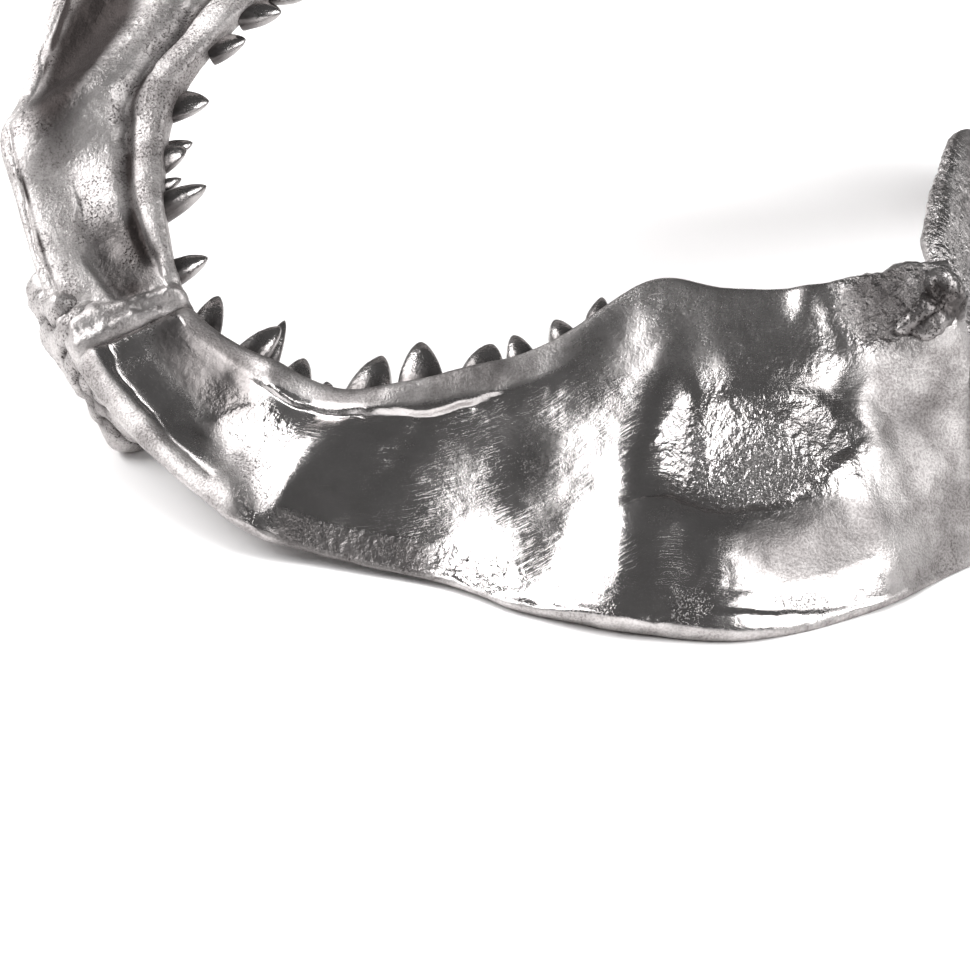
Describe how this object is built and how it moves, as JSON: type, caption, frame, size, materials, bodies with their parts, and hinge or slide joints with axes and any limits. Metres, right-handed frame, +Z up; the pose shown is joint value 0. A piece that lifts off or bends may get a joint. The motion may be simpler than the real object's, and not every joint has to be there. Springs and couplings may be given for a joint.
{
  "type": "cast metal shark jaw sculpture",
  "caption": "Cast aluminium sculpture of a shark's open jaws lying on their right side, with pointed teeth along the inside of the ring.",
  "frame": {"origin": "bottom centre of the bounding box, on the surface the jaws lie on", "axes": "+Z up, +X along the front of the picture from the jaw's front towards its near joint, +Y away from the picture's camera"},
  "size_m": [0.413, 0.4038, 0.2052],
  "materials": {
    "polished_cast_aluminium": "polished",
    "sand_cast_aluminium": "satin",
    "rough_cast_aluminium": "satin"
  },
  "bodies": {
    "root": {"lower_jaw_right": "polished_cast_aluminium", "lower_jaw_left": "sand_cast_aluminium", "upper_jaw_right": "polished_cast_aluminium", "upper_jaw_left": "sand_cast_aluminium", "jaw_joint_right": "rough_cast_aluminium", "jaw_joint_left": "rough_cast_aluminium", "lower_symphysis": "sand_cast_aluminium", "upper_symphysis": "sand_cast_aluminium"}
  },
  "joints": []
}
